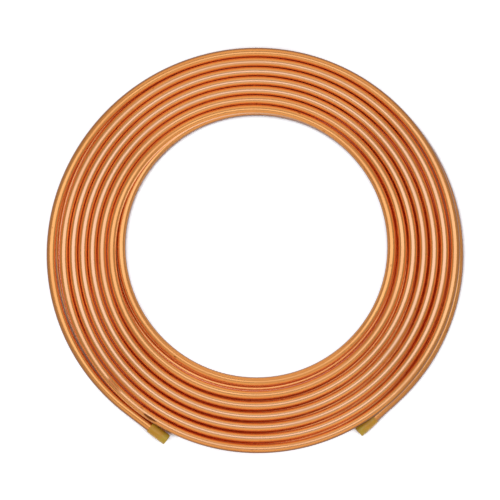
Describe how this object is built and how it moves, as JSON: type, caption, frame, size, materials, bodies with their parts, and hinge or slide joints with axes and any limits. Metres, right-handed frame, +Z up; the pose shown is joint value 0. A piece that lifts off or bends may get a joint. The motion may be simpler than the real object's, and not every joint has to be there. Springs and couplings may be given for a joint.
{
  "type": "copper tube coil",
  "caption": "Coil of soft copper refrigeration tube wound flat in two layers, with both ends outside and closed by push-on plastic caps.",
  "frame": {"origin": "centre of the innermost turn, on the floor that the coil lies on", "axes": "+Z up along the coil's axis, +Y towards the place where the tube climbs from the lower to the upper layer, the two capped ends on the -Y side, the upper layer's at -X and the lower layer's at +X"},
  "size_m": [0.434, 0.4219, 0.0195],
  "materials": {
    "copper": "bright drawn copper, lightly scuffed",
    "cap_plastic": "translucent yellow vinyl"
  },
  "bodies": {
    "root": {"copper_tube": "copper", "upper_end_cap": "cap_plastic", "lower_end_cap": "cap_plastic"}
  },
  "joints": []
}
